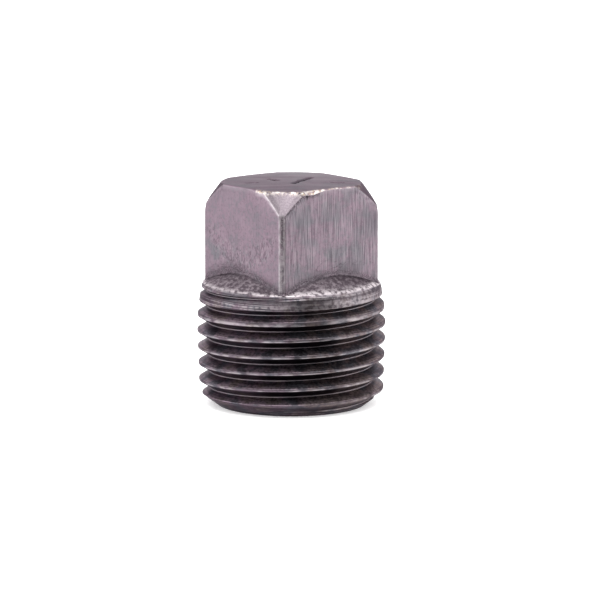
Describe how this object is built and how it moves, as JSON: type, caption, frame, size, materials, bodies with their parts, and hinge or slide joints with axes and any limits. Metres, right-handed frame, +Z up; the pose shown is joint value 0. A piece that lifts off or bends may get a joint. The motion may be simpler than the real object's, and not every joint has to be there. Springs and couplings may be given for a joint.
{
  "type": "square head pipe plug",
  "caption": "Solid steel pipe plug: a tapered male pipe thread below a square wrench head with a turned crown.",
  "frame": {"origin": "centre of the small end face, which the plug stands on", "axes": "+Z up the plug's axis from the small end to the square head; the four wrench flats face +X, -X, +Y and -Y"},
  "size_m": [0.0208, 0.0208, 0.0249],
  "materials": {
    "forged_steel": "dark oxide, oiled, as machined"
  },
  "bodies": {
    "root": {"square_head_plug": "forged_steel"}
  },
  "joints": []
}
